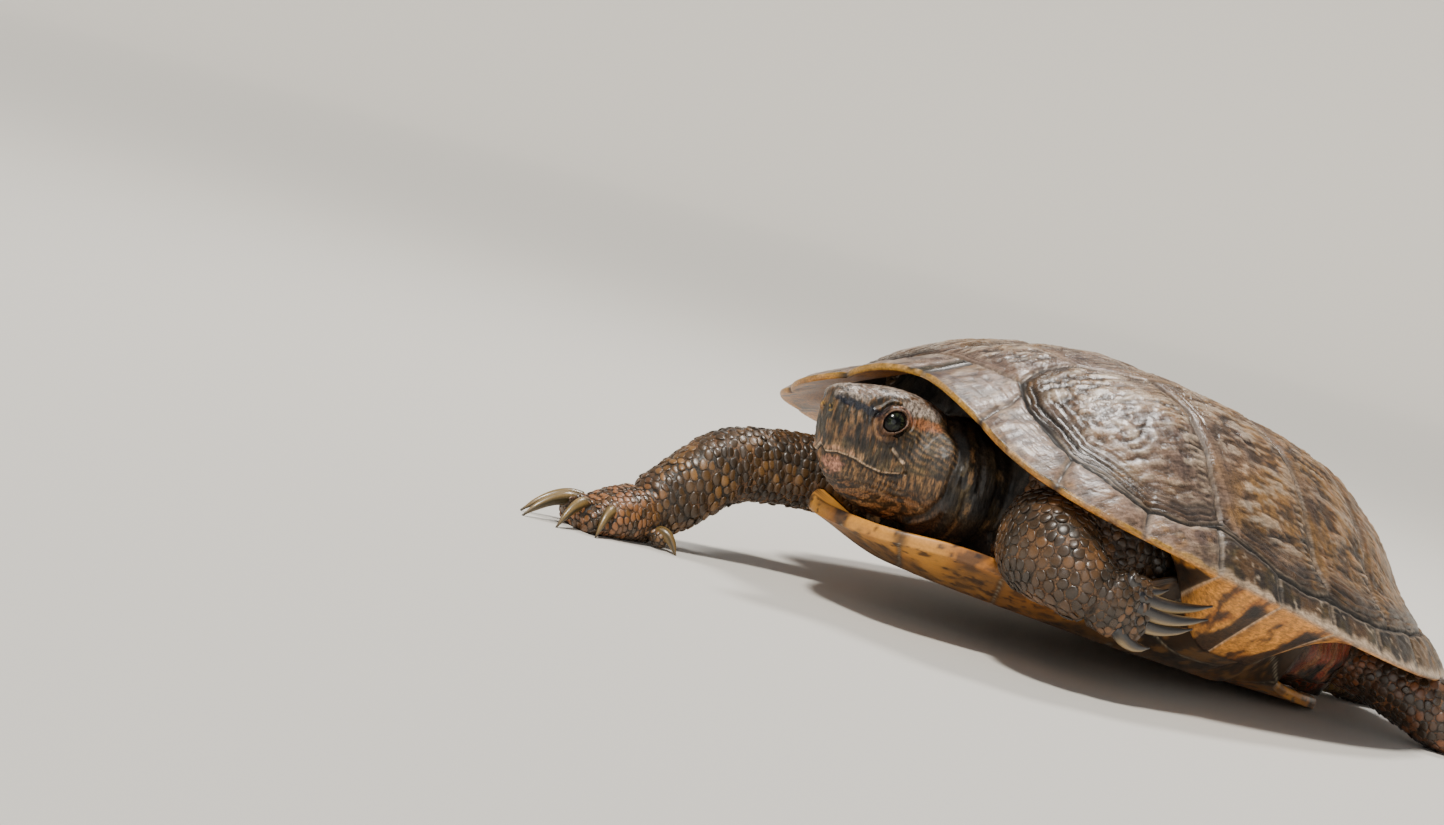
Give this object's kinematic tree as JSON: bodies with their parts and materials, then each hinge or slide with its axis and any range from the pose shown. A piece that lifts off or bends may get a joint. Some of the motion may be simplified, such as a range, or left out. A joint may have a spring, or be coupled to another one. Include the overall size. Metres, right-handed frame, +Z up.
{
  "type": "red-eared slider turtle",
  "caption": "Life-size still model of an adult male red-eared slider turtle, standing with its head out and turned, one foreleg forward and one folded.",
  "frame": {"origin": "on the floor, under the middle of the whole turtle's bounding box", "axes": "+Z up; the turtle faces -Y with its tail towards +Y, and its left side is towards +X"},
  "size_m": [0.1944, 0.301, 0.0806],
  "materials": {
    "carapace": "worn satin horn, tan and grey-brown with dark growth rings",
    "plastron": "satin horn, yellow-orange with dark smudges",
    "skin": "dark scaly skin, damp satin",
    "head": "smooth dark olive-brown skin with faint streaks",
    "eye": "wet gloss, nearly black",
    "claw": "polished horn, olive-brown"
  },
  "bodies": {
    "root": {"carapace": "carapace", "plastron": "plastron", "trunk": "skin", "neck": "skin", "head": "head", "eye_left": "eye", "eye_right": "eye", "tail": "skin", "foreleg_right": "skin", "foreleg_left": "skin", "hindleg_left": "skin", "hindleg_right": "skin", "forefoot_right": "skin", "claw_forefoot_right_1": "claw", "claw_forefoot_right_2": "claw", "claw_forefoot_right_3": "claw", "claw_forefoot_right_4": "claw", "claw_forefoot_right_5": "claw", "forefoot_left": "skin", "claw_forefoot_left_1": "claw", "claw_forefoot_left_2": "claw", "claw_forefoot_left_3": "claw", "claw_forefoot_left_4": "claw", "claw_forefoot_left_5": "claw", "hindfoot_left": "skin", "claw_hindfoot_left_1": "claw", "claw_hindfoot_left_2": "claw", "claw_hindfoot_left_3": "claw", "claw_hindfoot_left_4": "claw", "hindfoot_right": "skin", "claw_hindfoot_right_1": "claw", "claw_hindfoot_right_2": "claw", "claw_hindfoot_right_3": "claw", "claw_hindfoot_right_4": "claw"}
  },
  "joints": []
}
